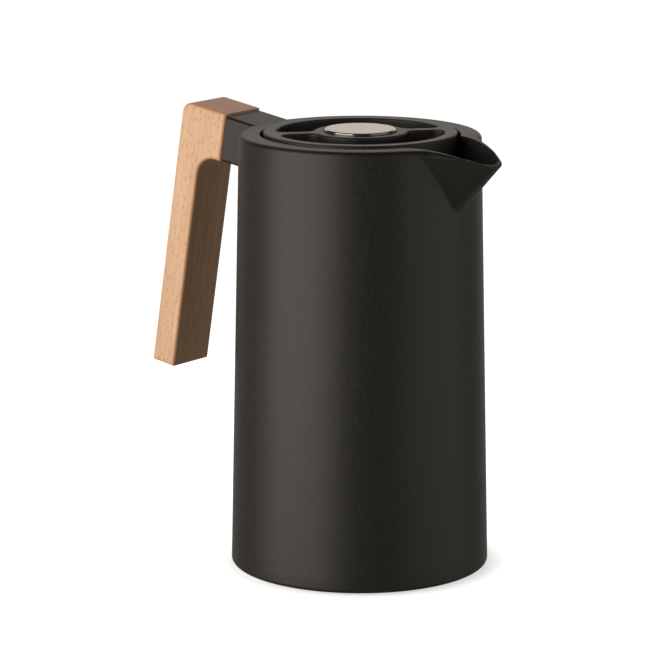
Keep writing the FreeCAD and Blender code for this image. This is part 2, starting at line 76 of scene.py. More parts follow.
# Pouring beak, a wedge that follows a slanted ridge
tip_reach = 80.0 * mm
tip_z = 202.5 * mm
tip_round = 8.5 * mm
beak_half_angle = math.radians(30.2)
beak_widest_turn = math.radians(60)
ridge_run = 0.931
lip_wall = 1.5 * mm
lip_round = 0.8 * mm
lip_inner_round = 0.3 * mm
lip_round_share = 0.5
lip_start = 48.0 * mm
lip_bend = 1.6
channel_round_gain = 0.25
crease_soft = 2.2 * mm
mouth_bend_reach = 63.2 * mm
mouth_back_reach = 32.1 * mm
mouth_half_width = 23.4 * mm
mouth_soft = 1.1 * mm
beak_low_z = 166.0 * mm
beak_stand = 18.0 * mm

# Handle: a runs from the outer top corner of the grip towards the jug, b runs down the leg
corner_reach = 97.8 * mm
corner_z = 219.3 * mm
lean = math.radians(9.28)
grip_thickness = 13.7 * mm
grip_width = 27.8 * mm
grip_length = 134.2 * mm
stub_length = 26.8 * mm
stub_depth = 24.0 * mm
grip_outer_round = 5.5 * mm
grip_inner_round = 9.5 * mm
grip_end_round = 0.6 * mm
stub_end_round = 0.3 * mm
grip_edge_round = 1.5 * mm
arm_start = 27.3 * mm
arm_top = 1.0 * mm
arm_low = 23.8 * mm
arm_width = 26.8 * mm
arm_edge_round = 1.8 * mm
arm_face_round = 0.4 * mm
arm_sink = 0.5 * mm

# Lid
lid_radius = 46.4 * mm
lid_z = 211.9 * mm
lid_edge_round = 1.0 * mm
skirt_z = 192.9 * mm
skirt_inner = 44.2 * mm
ring_under_z = 209.7 * mm
pocket_wall_radius = 42.4 * mm
pocket_radius = 40.2 * mm
pocket_z = 203.9 * mm
pocket_edge_round = 1.2 * mm
pocket_floor_round = 2.0 * mm
pocket_corner_round = 5.0 * mm
deck_under_z = 201.7 * mm
stopper_z = 197.4 * mm
boss_radius = 22.5 * mm
bar_half_width = 3.25 * mm
bar_turn = math.radians(48.0)
ledge_radius = 19.6 * mm
ledge_z = 204.8 * mm
bore_radius = 17.4 * mm
bore_round = 0.5 * mm

# Button
button_radius = 17.0 * mm
button_z = 213.2 * mm
button_low_z = 210.2 * mm
button_bevel = 0.5 * mm
button_bevel_drop = 0.5 * mm
button_sheet = 1.0 * mm
button_edge_round = 0.3 * mm

# Spring under the button
spring_radius = 7.6 * mm
spring_wire = 1.1 * mm
spring_turns = 5
spring_low_z = 187.3 * mm
spring_high_z = 204.2 * mm

# Mesh density; the shell's columns stand closest at the tip of the beak
guard = 0.15 * mm
sharp_edge = 40
round_steps = 8
turn_steps = 192
wall_steps = 24
beak_steps = 72
channel_steps = 14
shell_inner_steps = 4
pocket_arc_steps = 64
coil_steps = 36
tip_turn = 6
tip_columns = 24
beak_turn = 40
beak_columns = 110
back_columns = 90
lip_tries = 20
rim_flat_places = (0.04, 0.5, 0.96)
sill_places = (0.1, 0.5, 1.0)

# Camera, at the photograph's viewing angle
camera_place = Vector((0.9514, -1.2782, 0.4605))
camera_target = Vector((-0.0102, -0.0076, 0.1131))
camera_lens = 182.46
camera_sensor = 36.0

# Panels: turns from the camera's side, left being negative, and half widths are in degrees
panel_distance = 0.6
panel_low = -0.2
panel_top = 0.62
key_turn = -55.5
key_half_width = 32
key_radiance = 2.65
fill_turn = 69
fill_half_width = 34
fill_radiance = 0.62
back_panel_distance = 0.6
back_panel_z = 0.78
back_panel_size = 0.7
back_radiance = 0.72

# Room and floor: the ranges are in the parts of a unit direction
warm_white = (1.0, 0.93, 0.84)
low_light = 0.22
high_light = 0.03
horizon = (-0.05, 0.25)
backdrop_light = 0.75
backdrop_side = (0.70, 0.94)
backdrop_foot = (-0.40, -0.05)
backdrop_top = (0.30, 0.50)
floor_radius = 8.0
floor_corners = 96
# Painted light on the floor: its glow at the base, rising to full white at the reach, in base radii
floor_glow_at_base = 0.62
floor_painted_glow_reach = 1.2
floor_seen = 0.9
floor_bounce = 0.2

# Finishes: noise textures stay mostly within noise_range; the faces are told by a part of their normal
noise_range = (0.3, 0.7)
body_dark = (0.0058, 0.0053, 0.0048)
body_light = (0.0172, 0.0160, 0.0147)
lid_dark = (0.0180, 0.0171, 0.0158)
lid_light = (0.0260, 0.0246, 0.0230)
beech_pale = (0.80, 0.54, 0.36)
beech_band = (0.75, 0.485, 0.31)
beech_streak = (0.60, 0.345, 0.205)
# Painted light: redder tone for the grip's up-facing faces, standing in for the light they catch from above
beech_top_painted_light = (0.92, 0.49, 0.37)
beech_fleck = (0.55, 0.27, 0.12)
# Painted shade: warmer, darker tone for the grip's long rounds
beech_round_painted_shade = (0.66, 0.34, 0.15)
beech_depth = (1.0, 0.35, 0.15)
button_dark = (0.60, 0.575, 0.55)
button_light = (0.68, 0.655, 0.63)
button_polished = (0.72, 0.70, 0.67)
flask_tint = (0.62, 0.61, 0.60)
screw_tint = (0.56, 0.56, 0.57)
brass_tint = (0.74, 0.54, 0.25)
speckle_shade = 0.86
silicone_dark = (0.42, 0.42, 0.41)
silicone_light = (0.50, 0.50, 0.49)
rubber_dark = (0.016, 0.016, 0.016)
rubber_light = (0.024, 0.024, 0.024)
side_faces = (0.4, 0.9)
# Painted light: range of the normal's up part that gets the painted top tone
painted_top_faces = (0.5, 0.95)


def smooth_max(first, second, width):
    """Larger of two lengths, blended where they differ by less than a width."""
    share = max(width - abs(first - second), 0) / width
    return max(first, second) + width * share * share / 4


def smooth_step(value):
    """Value held between 0 and 1, with a soft start and end."""
    value = min(max(value, 0), 1)
    return value * value * (3 - 2 * value)


def between(low, high, share):
    return low + (high - low) * share


def steps(low, high, count):
    """Evenly spaced values from low up to, but not including, high."""
    return [between(low, high, index / count) for index in range(count)]


def new_piece(name, vertices, faces, body, slot):
    """Closed mesh piece that rides on a body of the frame."""
    shape = bmesh.new()
    made = [shape.verts.new(vertex) for vertex in vertices]
    for face in faces:
        shape.faces.new([made[index] for index in face])
    return piece_of(name, shape, body, slot)


def piece_of(name, shape, body, slot):
    """Piece made of a bmesh, welded, with its normals outwards and smooth up to the sharp edges."""
    bmesh.ops.remove_doubles(shape, verts=shape.verts, dist=guard / 100)
    bmesh.ops.recalc_face_normals(shape, faces=shape.faces)
    mesh = bpy.data.meshes.new(name)
    shape.to_mesh(mesh)
    shape.free()
    mesh.shade_smooth()
    mesh.set_sharp_from_angle(angle=math.radians(sharp_edge))
    piece = bpy.data.objects.new(name, mesh)
    bpy.context.scene.collection.objects.link(piece)
    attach(piece, body)
    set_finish(piece, slot)
    return piece


def grid_faces(columns, rows):
    """Quads of a grid that closes on itself both ways; its vertices run row by row in each column."""
    faces = []
    for column in range(columns):
        first, beside = column * rows, (column + 1) % columns * rows
        for row in range(rows):
            above = (row + 1) % rows
            faces.append((first + row, beside + row, beside + above, first + above))
    return faces


def arc(start, tip, end, half):
    """Points of a round from start to end beside a corner's tip, where the outline turns by twice half."""
    points = []
    for step in range(round_steps + 1):
        share = step / round_steps
        low, middle, high = (1 - share) ** 2, 2 * share * (1 - share) * math.cos(half), share ** 2
        points.append((start * low + tip * middle + end * high) / (low + middle + high))
    return points


def quarter_round(radius):
    """Distances from the two faces that a quarter round joins, along the round."""
    turns = [math.pi / 2 * step / round_steps for step in range(round_steps + 1)]
    return [(radius * (1 - math.sin(turn)), radius * (1 - math.cos(turn))) for turn in turns]


def rounded_outline(corners, inset=0.0):
    """Closed outline through corners (p, q, radius), moved inwards by an inset; counter-clockwise."""
    count = len(corners)
    flat = [Vector((corner[0], corner[1])) for corner in corners]
    ways = [(flat[(index + 1) % count] - flat[index]).normalized() for index in range(count)]
    points = []
    for index, corner in enumerate(corners):
        before, after = ways[index - 1], ways[index]
        turn = before.x * after.y - before.y * after.x
        half = before.angle(after) / 2
        inward = Vector((-before.y - after.y, before.x + after.x)).normalized()
        tip = flat[index] + inward * (inset / math.cos(half))
        radius = corner[2] - inset if turn > 0 else corner[2] + inset
        reach = max(radius, guard / 10) * math.tan(half)
        points.append(tip - before * (reach + guard))
        points += arc(tip - before * reach, tip, tip + after * reach, half)
        points.append(tip + after * (reach + guard))
    return points


def turned(shape, profile):
    """Adds the surface of a profile in radius and height, turned about Z, to a bmesh."""
    columns = []
    for index in range(turn_steps):
        angle = 2 * math.pi * index / turn_steps
        columns.append([
            shape.verts.new((r * math.cos(angle), r * math.sin(angle), z)) for r, z in profile
        ])
    for index, column in enumerate(columns):
        beside = columns[(index + 1) % turn_steps]
        for row in range(len(profile) - 1):
            shape.faces.new((column[row], beside[row], beside[row + 1], column[row + 1]))
    return columns


def bridged(shape, loops):
    """Joins closed loops of as many vertices each, one to the next."""
    for low, high in zip(loops, loops[1:]):
        for index in range(len(low)):
            after = (index + 1) % len(low)
            shape.faces.new((low[index], low[after], high[after], high[index]))


def filled(shape, loops):
    """Flat faces between closed loops of vertices."""
    edges = []
    for loop in loops:
        for index, vertex in enumerate(loop):
            pair = (vertex, loop[(index + 1) % len(loop)])
            edges.append(shape.edges.get(pair) or shape.edges.new(pair))
    bmesh.ops.triangle_fill(shape, use_beauty=True, edges=edges)


def capped(shape, loops):
    """Closed body through loops of vertices, with flat ends."""
    bridged(shape, loops)
    filled(shape, loops[:1])
    filled(shape, loops[-1:])


# Outer shell with its beak
beak_apex = tip_reach + tip_round * (1 / math.sin(beak_half_angle) - 1)
channel_apex = beak_apex - lip_wall / math.sin(beak_half_angle)
mouth_bend_width = math.tan(beak_half_angle) * (channel_apex - mouth_bend_reach)
mouth_half_angle = math.atan2(mouth_half_width - mouth_bend_width, mouth_bend_reach - mouth_back_reach)
mouth_apex = mouth_bend_reach + mouth_bend_width / math.tan(mouth_half_angle)


def cone_radius(z):
    """Radius of the tapered body at a height."""
    return between(base_radius, rim_radius, (z - foot_z) / (rim_z - foot_z))


def wedge_exit(angle, apex, half_angle):
    """Distance at which a ray from the axis leaves a wedge with its apex on +X."""
    return apex * math.sin(half_angle) / math.sin(abs(angle) + half_angle)


def beak_reach(angle, z, inset=0.0):
    """Distance of the beak's outline from the axis at an angle and a height, moved inwards by an inset."""
    apex = beak_apex + ridge_run * (z - tip_z) - inset / math.sin(beak_half_angle)
    if apex < collar_radius or abs(angle) > beak_widest_turn:
        return 0
    side = wedge_exit(angle, apex, beak_half_angle)
    radius = tip_round + channel_round_gain * inset
    if side * math.sin(abs(angle)) > radius * math.cos(beak_half_angle):
        return side
    centre = apex - radius / math.sin(beak_half_angle)
    return centre * math.cos(angle) + math.sqrt(radius ** 2 - (centre * math.sin(angle)) ** 2)


def outside(angle, z):
    """Distance of the shell's outer face from the axis, with a soft crease beside the beak."""
    return smooth_max(cone_radius(z), beak_reach(angle, z), crease_soft)


def inside(angle, z):
    """Distance of the mouth's wall from the axis, or nothing where there is no mouth."""
    channel = beak_reach(angle, z, lip_wall)
    if channel == 0:
        return 0
    mouth = wedge_exit(angle, mouth_apex + ridge_run * (z - tip_z), mouth_half_angle)
    return -smooth_max(-channel, -mouth, mouth_soft)


def lip_height(reach):
    """Height of the lip, which dips from the rim to the tip."""
    share = min(max((reach - lip_start) / (tip_reach - lip_start), 0), 1)
    return between(rim_z, tip_z, share ** lip_bend)


def on_lip(angle, wall):
    """Point in radius and height where a wall meets the lip."""
    z = rim_z
    for _ in range(lip_tries):
        z = lip_height(wall(angle, z) * math.cos(angle))
    return Vector((wall(angle, z), z))


def rounded_corner(start, tip, end):
    """Points of a round between two places beside a corner."""
    return arc(start, tip, end, (tip - start).angle(end - tip) / 2)


def foot_points():
    """Shell's foot, from its flat underside round to the wall."""
    low = foot_z + base_round
    centre = cone_radius(low) - base_round
    points = [Vector((centre - foot_flat, foot_z)), Vector((centre - guard, foot_z))]
    for turn in steps(0, math.pi / 2, round_steps):
        points.append(Vector((centre + base_round * math.sin(turn), low - base_round * math.cos(turn))))
    return points


def inner_points(angle, top):
    """Inside of the shell, from below the rim down the mouth, over the beak's sill and down the wall."""
    points = [Vector((max(collar_radius, inside(angle, top)), top))]
    for z in steps(top, sill_z, channel_steps) + [sill_z]:
        points.append(Vector((max(collar_outside, inside(angle, z)), z)))
    sill_end = points[-1].x
    for place in sill_places:
        points.append(Vector((between(sill_end, collar_outside, place), sill_z)))
    points.append(Vector((collar_outside - guard, sill_under_z)))
    for z in steps(sill_under_z, foot_z, shell_inner_steps):
        points.append(Vector((cone_radius(z) - shell_wall, z)))
    return points


def shell_profile(angle):
    """Closed profile of the shell in radius and height, at an angle round the axis."""
    edge = on_lip(angle, outside)
    inner = on_lip(angle, lambda turn, z: max(collar_radius, inside(turn, z)))
    share = smooth_step((beak_reach(angle, edge.y) - cone_radius(edge.y)) / beak_stand)
    outer_round = between(rim_round, lip_round, share)
    inner_round = between(rim_inner_round, lip_inner_round, share)
    below = Vector((outside(angle, edge.y - mm), edge.y - mm)) - edge
    across = inner - edge
    half = below.angle(across) / 2
    reach = min(outer_round / math.tan(half), lip_round_share * across.length)
    wall_top = edge.y + below.normalized().y * reach

    points = foot_points()
    heights = steps(foot_z + base_round, beak_low_z, wall_steps) + steps(beak_low_z, wall_top, beak_steps)
    for z in heights:
        points.append(Vector((outside(angle, z), z)))
    start = Vector((outside(angle, wall_top), wall_top))
    end = edge + across.normalized() * reach
    points += rounded_corner(start, edge, end)
    inner_start = inner - across.normalized() * inner_round
    inner_end = inner - Vector((0, inner_round))
    for place in rim_flat_places:
        points.append(end.lerp(inner_start, place))
    points += rounded_corner(inner_start, inner, inner_end)
    return points + inner_points(angle, min(flange_under_z, inner_end.y - inner_round))


def shell_angles():
    """Angles round the axis, closer together at the beak and closest at its tip."""
    half = steps(0, tip_turn, tip_columns) + steps(tip_turn, beak_turn, beak_columns)
    half += steps(beak_turn, 180, back_columns)
    return [math.radians(angle) for angle in [-180] + [-angle for angle in half[:0:-1]] + half]


def make_shell():
    """Shell with its beak, as a ring of profiles."""
    angles = shell_angles()
    profiles = [shell_profile(angle) for angle in angles]
    vertices = []
    for angle, profile in zip(angles, profiles):
        vertices += [(r * math.cos(angle), r * math.sin(angle), z) for r, z in profile]
    faces = grid_faces(len(angles), len(profiles[0]))
    shell = new_piece("shell_with_beak", vertices, faces, "jug", "black_body")
    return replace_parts(shell, "outer_shell")


# Handle
def handle_point(a, b, y):
    """Place of a point of the handle that is a along the arm, b down the leg and y across."""
    reach = corner_reach - a * math.cos(lean) + b * math.sin(lean)
    return Vector((-reach, y, corner_z - a * math.sin(lean) - b * math.cos(lean)))


def make_grip():
    """Wooden grip: an angled outline with rounded edges on both sides."""
    corners = [
        (0, 0, grip_outer_round),
        (stub_length, 0, stub_end_round),
        (stub_length, stub_depth, stub_end_round),
        (grip_thickness, stub_depth, grip_inner_round),
        (grip_thickness, grip_length, grip_end_round),
        (0, grip_length, grip_end_round),
    ]
    half = grip_width / 2
    rows = [(grip_edge_round + guard, -half)]
    rows += [(inset, -half + depth) for inset, depth in quarter_round(grip_edge_round)]
    rows.append((0, -half + grip_edge_round + guard))
    rows += [(inset, -y) for inset, y in rows[::-1]]
    shape = bmesh.new()
    loops = []
    for inset, y in rows:
        outline = rounded_outline(corners, inset)
        loops.append([shape.verts.new(handle_point(point.x, point.y, y)) for point in outline])
    capped(shape, loops)
    grip = piece_of("wooden_grip", shape, "jug", "beech")
    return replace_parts(grip, "handle_grip")


def arm_end(y, b):
    """How far along the arm a line of it runs before it is inside the shell or under the rim."""
    a = arm_start
    point = handle_point(a, b, y)
    while math.hypot(point.x, y) > cone_radius(point.z) - shell_wall / 2 or point.z > rim_z - arm_sink:
        a += guard
        point = handle_point(a, b, y)
    return a


def make_arm():
    """Black arm between the shell and the grip."""
    half = arm_width / 2
    corners = [
        (-half, arm_top, arm_edge_round),
        (half, arm_top, arm_edge_round),
        (half, arm_low, arm_edge_round),
        (-half, arm_low, arm_edge_round),
    ]
    rows = [(arm_face_round + guard, 0)] + quarter_round(arm_face_round) + [(0, arm_face_round + guard)]
    shape = bmesh.new()
    loops = []
    for inset, depth in rows:
        outline = rounded_outline(corners, inset)
        loops.append([shape.verts.new(handle_point(arm_start + depth, p.y, p.x)) for p in outline])
    outline = rounded_outline(corners)
    loops.append([shape.verts.new(handle_point(arm_end(p.x, p.y), p.y, p.x)) for p in outline])
    capped(shape, loops)
    arm = piece_of("handle_arm", shape, "jug", "black_body")
    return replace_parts(arm, "outer_shell")


# Lid
def around(radius, turns, along=0.0, height=0.0):
    """Points on a circle at the given turns."""
    return [(along + radius * math.cos(turn), height + radius * math.sin(turn)) for turn in turns]


def pocket_outline(inset):
    """Half-moon outline on one side of the grip bar, moved inwards by an inset, before the bar is turned."""
    radius = pocket_corner_round - inset
    inner, outer = boss_radius + inset, pocket_radius - inset
    side = bar_half_width + inset
    height = side + radius
    outer_along = math.sqrt((outer - radius) ** 2 - height ** 2)
    inner_along = math.sqrt((inner + radius) ** 2 - height ** 2)
    outer_turn = math.atan2(height, outer_along)
    inner_turn = math.atan2(height, inner_along)
    inner_corner = steps(math.pi + inner_turn, 3 * math.pi / 2, round_steps)
    outer_corner = steps(-math.pi / 2, outer_turn, 2 * round_steps)
    right = around(radius, inner_corner, inner_along, height)
    right += [(x, side) for x in steps(inner_along, outer_along, round_steps)]
    right += around(radius, outer_corner, outer_along, height)
    left = [(-x, y) for x, y in right[::-1]]
    far = steps(outer_turn, math.pi - outer_turn, pocket_arc_steps) + [math.pi - outer_turn]
    near = steps(math.pi - inner_turn, inner_turn, pocket_arc_steps)[1:]
    return right + around(outer, far) + left + around(inner, near)


def pocket_rows():
    """Insets and heights down the wall of a pocket, from the lid's top to the pocket's floor."""
    rows = [(-pocket_edge_round - guard, lid_z)]
    rows += [(-inset, lid_z - drop) for inset, drop in quarter_round(pocket_edge_round)]
    rows.append((0, lid_z - pocket_edge_round - guard))
    rows.append((0, pocket_z + pocket_floor_round + guard))
    rows += [(inset, pocket_z + rise) for rise, inset in quarter_round(pocket_floor_round)]
    rows.append((pocket_floor_round + guard, pocket_z))
    return rows


def lid_section():
    """Profile of the lid, from the bore's edge at the top, by the underside, to the rim at the top."""
    corners = [
        (lid_radius, lid_z, lid_edge_round),
        (bore_radius, lid_z, bore_round),
        (bore_radius, ledge_z, guard),
        (ledge_radius, ledge_z, guard),
        (ledge_radius, deck_under_z, guard),
        (pocket_radius, deck_under_z, guard),
        (pocket_radius, stopper_z, guard),
        (pocket_wall_radius, stopper_z, guard),
        (pocket_wall_radius, ring_under_z, guard),
        (skirt_inner, ring_under_z, guard),
        (skirt_inner, skirt_z, guard),
        (lid_radius, skirt_z, guard),
    ]
    outline = rounded_outline(corners)
    corner_points = len(outline) // len(corners)
    return outline[corner_points:] + outline[:corner_points]


def make_lid():
    """Lid with its two pockets, one on each side of the grip bar."""
    shape = bmesh.new()
    columns = turned(shape, lid_section())
    top_loops = [[column[0] for column in columns], [column[-1] for column in columns]]
    for turn in (bar_turn, bar_turn + math.pi):
        loops = []
        for inset, z in pocket_rows():
            loop = []
            for x, y in pocket_outline(inset):
                across = x * math.cos(turn) - y * math.sin(turn)
                along = x * math.sin(turn) + y * math.cos(turn)
                loop.append(shape.verts.new((across, along, z)))
            loops.append(loop)
        bridged(shape, loops)
        filled(shape, loops[-1:])
        top_loops.append(loops[0])
    filled(shape, top_loops)
    lid = piece_of("lid_with_grip_bar", shape, "lid", "black_lid")
    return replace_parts(lid, "lid_cover")


def make_button():
    """Steel cap with a polished bevel."""
    under = button_z - button_sheet
    skirt = button_radius - button_sheet
    corners = [
        (0, button_z, guard),
        (0, under, guard),
        (skirt - button_bevel, under, guard),
        (skirt, under - button_bevel_drop, guard),
        (skirt, button_low_z, guard),
        (button_radius, button_low_z, guard),
        (button_radius, button_z - button_bevel_drop, button_edge_round),
        (button_radius - button_bevel, button_z, button_edge_round),
    ]
    outline = [Vector((max(point.x, 0), point.y)) for point in rounded_outline(corners)]
    shape = bmesh.new()
    turned(shape, outline + outline[:1])
    button = piece_of("steel_button", shape, "button", "button_steel")
    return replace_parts(button, "button_cap")


def make_spring():
    """Coil under the button, on a mesh of its own."""
    wire = spring_wire / 2
    count = coil_steps * spring_turns
    rows = 2 * round_steps
    vertices = []
    for index in range(count + 1):
        angle = 2 * math.pi * spring_turns * index / count
        z = between(spring_low_z + wire, spring_high_z - wire, index / count)
        for side in steps(0, 2 * math.pi, rows):
            reach = spring_radius + wire * math.cos(side)
            vertices.append((reach * math.cos(angle), reach * math.sin(angle), z + wire * math.sin(side)))
    faces = grid_faces(count + 1, rows)[:count * rows]
    faces += [tuple(range(rows)), tuple(range(count * rows, (count + 1) * rows))]
    spring = new_piece("button_coil", vertices, faces, "lid", "screw_steel")
    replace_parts(spring, "button_spring")
    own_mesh(spring)
    return spring


# Materials
# A mix node has sockets of its own for each kind of data: share, first, second and result
mix_colours = (0, 6, 7, 2)
mix_values = (0, 2, 3, 0)


def give(tree, socket, value):
    """Gives a socket a plain value, or links it to another node's output."""
    if isinstance(value, bpy.types.NodeSocket):
        tree.links.new(value, socket)
    else:
        socket.default_value = value


def node(tree, kind, inputs=None, **settings):
    """Node with its settings and inputs, where an input is a value or another node's output."""
    made = tree.nodes.new(kind)
    for key, value in settings.items():
        setattr(made, key, value)
    for key, value in (inputs or {}).items():
        give(tree, made.inputs[key], value)
    return made


def new_material(name):
    """Material with a principled shader, and its object coordinates."""
    material = bpy.data.materials.new(name)
    material.use_nodes = True
    tree = material.node_tree
    shader = tree.nodes["Principled BSDF"]
    coordinates = node(tree, "ShaderNodeTexCoord").outputs["Object"]
    return material, tree, shader, coordinates


def finish_shader(tree, shader, **sockets):
    """Sets sockets of a shader by their names, with underscores for spaces."""
    for key, value in sockets.items():
        give(tree, shader.inputs[key.replace("_", " ")], value)


def noise(tree, coordinates, scale, detail=3.0, roughness=0.5):
    settings = {"Vector": coordinates, "Scale": scale, "Detail": detail, "Roughness": roughness}
    return node(tree, "ShaderNodeTexNoise", settings).outputs["Fac"]


def ramp(tree, value, limits, low_to=0.0, high_to=1.0):
    """Value moved from the range between two limits to another range."""
    low, high = limits
    settings = {"Value": value, "From Min": low, "From Max": high, "To Min": low_to, "To Max": high_to}
    return node(tree, "ShaderNodeMapRange", settings).outputs["Result"]


def times(tree, first, second):
    return node(tree, "ShaderNodeMath", {0: first, 1: second}, operation="MULTIPLY").outputs["Value"]


def size_of(tree, value):
    return node(tree, "ShaderNodeMath", {0: value}, operation="ABSOLUTE").outputs["Value"]


def length_of(tree, vector):
    return node(tree, "ShaderNodeVectorMath", {0: vector}, operation="LENGTH").outputs["Value"]


def parts_of(tree, vector):
    """X, Y and Z of a vector, by name."""
    return node(tree, "ShaderNodeSeparateXYZ", {"Vector": vector}).outputs


def mapped(tree, vector, **settings):
    """Coordinates turned or scaled by the settings of a mapping node."""
    return node(tree, "ShaderNodeMapping", {"Vector": vector, **settings}).outputs["Vector"]


def mixed(tree, share, first, second, kind="RGBA", sockets=mix_colours):
    share_at, first_at, second_at, result_at = sockets
    inputs = {share_at: share, first_at: first, second_at: second}
    return node(tree, "ShaderNodeMix", inputs, data_type=kind).outputs[result_at]


def bump(tree, height, strength, distance):
    settings = {"Height": height, "Strength": strength, "Distance": distance}
    return node(tree, "ShaderNodeBump", settings).outputs["Normal"]


def colour(parts, level=1.0):
    """Colour with its alpha, made from red, green and blue at a level."""
    red, green, blue = parts
    return (level * red, level * green, level * blue, 1.0)


def moulded_plastic(name, dark, light, smoothest, roughest, specular):
    """Matt moulded plastic with a fine spark texture and a faint mottle."""
    material, tree, shader, coordinates = new_material(name)
    mottle = noise(tree, coordinates, scale=900.0, detail=3.0, roughness=0.6)
    grain = noise(tree, coordinates, scale=1500.0, detail=2.0)
    finish_shader(
        tree, shader,
        Base_Color=mixed(tree, ramp(tree, mottle, noise_range), colour(dark), colour(light)),
        Roughness=ramp(tree, mottle, noise_range, smoothest, roughest),
        Normal=bump(tree, grain, strength=0.5, distance=0.055 * mm),
        Specular_IOR_Level=specular,
    )
    return material


def beech_flecks(tree, along, sideways):
    """Share of the short ray flecks, which show most on the faces that look sideways."""
    fleck_size = (0.18, 0.42)
    fleck_choice = (0.05, 0.45)
    strongest = 0.65
    elsewhere = 0.2
    flecked = mapped(tree, along, Scale=(1.0, 1.0, 0.32))
    cells = node(tree, "ShaderNodeTexVoronoi", {"Vector": flecked, "Scale": 900.0, "Randomness": 1.0})
    shape = ramp(tree, cells.outputs["Distance"], fleck_size, 1.0, 0.0)
    chosen = node(tree, "ShaderNodeSeparateColor", {"Color": cells.outputs["Color"]}).outputs["Red"]
    strength = ramp(tree, chosen, fleck_choice, 0.0, strongest)
    spread = ramp(tree, sideways, side_faces, elsewhere)
    return times(tree, shape, times(tree, strength, spread))


def painted_round_shade_share(tree, coordinates):
    """Share of the painted shade on the long rounds of the grip: a warmer, darker tone in place of the warm
    shading where light turns over them.
    """
    half = grip_width / 2
    onto_round = (half - 1.1 * grip_edge_round, half - 0.6 * grip_edge_round)
    onto_face = (half - 0.15 * grip_edge_round, half - guard / 10)
    strongest = 0.6
    side = size_of(tree, parts_of(tree, coordinates)["Y"])
    return times(tree, ramp(tree, side, onto_round, 0.0, strongest), ramp(tree, side, onto_face, 1.0, 0.0))


def beech():
    """Beech with its grain down the leg: fine streaks, wider bands and short darker flecks, with a painted
    tone on the up-facing faces for the light they catch and a painted warm shade on the long rounds.
    """
    band_range = (0.35, 0.65)
    streak_range = (0.35, 0.70)
    streaks_on_sides = 0.45
    painted_top_share = 0.75
    material, tree, shader, coordinates = new_material("beech")
    facing = parts_of(tree, node(tree, "ShaderNodeTexCoord").outputs["Normal"])
    sideways = size_of(tree, facing["Y"])
    along = mapped(tree, coordinates, Rotation=(0, -lean, 0))
    streaked = mapped(tree, along, Scale=(1.0, 1.0, 0.06))
    streaks = noise(tree, streaked, scale=900.0, detail=4.0, roughness=0.6)
    bands = noise(tree, streaked, scale=140.0, detail=2.0)
    spread = ramp(tree, sideways, side_faces, 1.0, streaks_on_sides)
    streak_share = times(tree, ramp(tree, streaks, streak_range), spread)
    wood = mixed(tree, ramp(tree, bands, band_range), colour(beech_pale), colour(beech_band))
    wood = mixed(tree, streak_share, wood, colour(beech_streak))
    # Painted light: the up-facing faces get a redder tone in place of the light that falls on them
    wood = mixed(tree, ramp(tree, facing["Z"], painted_top_faces, 0.0, painted_top_share), wood, colour(beech_top_painted_light))
    wood = mixed(tree, beech_flecks(tree, along, sideways), wood, colour(beech_fleck))
    finish_shader(
        tree, shader,
        # Painted shade on the long rounds of the grip
        Base_Color=mixed(tree, painted_round_shade_share(tree, coordinates), wood, colour(beech_round_painted_shade)),
        Roughness=ramp(tree, streaks, noise_range, 0.42, 0.55),
        Normal=bump(tree, streaks, strength=0.12, distance=0.05 * mm),
        Specular_IOR_Level=0.4,
        Subsurface_Weight=0.25,
        Subsurface_Radius=beech_depth,
        Subsurface_Scale=1.2 * mm,
    )
    return material


def satin_metal(name, tint, smoothest, roughest, scale=2600.0):
    """Fine blasted or brushed metal."""
    material, tree, shader, coordinates = new_material(name)
    speckle = noise(tree, coordinates, scale, detail=3.0, roughness=0.6)
    finish_shader(
        tree, shader,
        Base_Color=mixed(tree, ramp(tree, speckle, noise_range), colour(tint, speckle_shade), colour(tint)),
        Roughness=ramp(tree, speckle, noise_range, smoothest, roughest),
        Normal=bump(tree, speckle, strength=0.08, distance=0.02 * mm),
        Metallic=1.0,
    )
    return material


def button_steel():
    """Satin steel on the flat top, polished on the bevel and the edge."""
    polished_roughness = 0.10
    top = button_radius - button_bevel
    material, tree, shader, coordinates = new_material("button_steel")
    level = node(tree, "ShaderNodeVectorMath", {0: coordinates, 1: (1, 1, 0)}, operation="MULTIPLY")
    polish = ramp(tree, length_of(tree, level.outputs["Vector"]), (top, top + button_edge_round))
    speckle = noise(tree, coordinates, scale=2400.0, detail=3.0, roughness=0.6)
    satin = ramp(tree, speckle, noise_range, 0.30, 0.40)
    shade = mixed(tree, ramp(tree, speckle, noise_range), colour(button_dark), colour(button_light))
    finish_shader(
        tree, shader,
        Base_Color=mixed(tree, polish, shade, colour(button_polished)),
        Roughness=mixed(tree, polish, satin, polished_roughness, "FLOAT", mix_values),
        Metallic=1.0,
    )
    return material


def soft_rubber(name, dark, light, specular):
    """Matt rubber or silicone with a faint cloud."""
    material, tree, shader, coordinates = new_material(name)
    cloud = noise(tree, coordinates, scale=500.0, detail=4.0)
    finish_shader(
        tree, shader,
        Base_Color=mixed(tree, ramp(tree, cloud, noise_range), colour(dark), colour(light)),
        Roughness=ramp(tree, cloud, noise_range, 0.55, 0.7),
        Normal=bump(tree, cloud, strength=0.1, distance=0.03 * mm),
        Specular_IOR_Level=specular,
    )
    return material


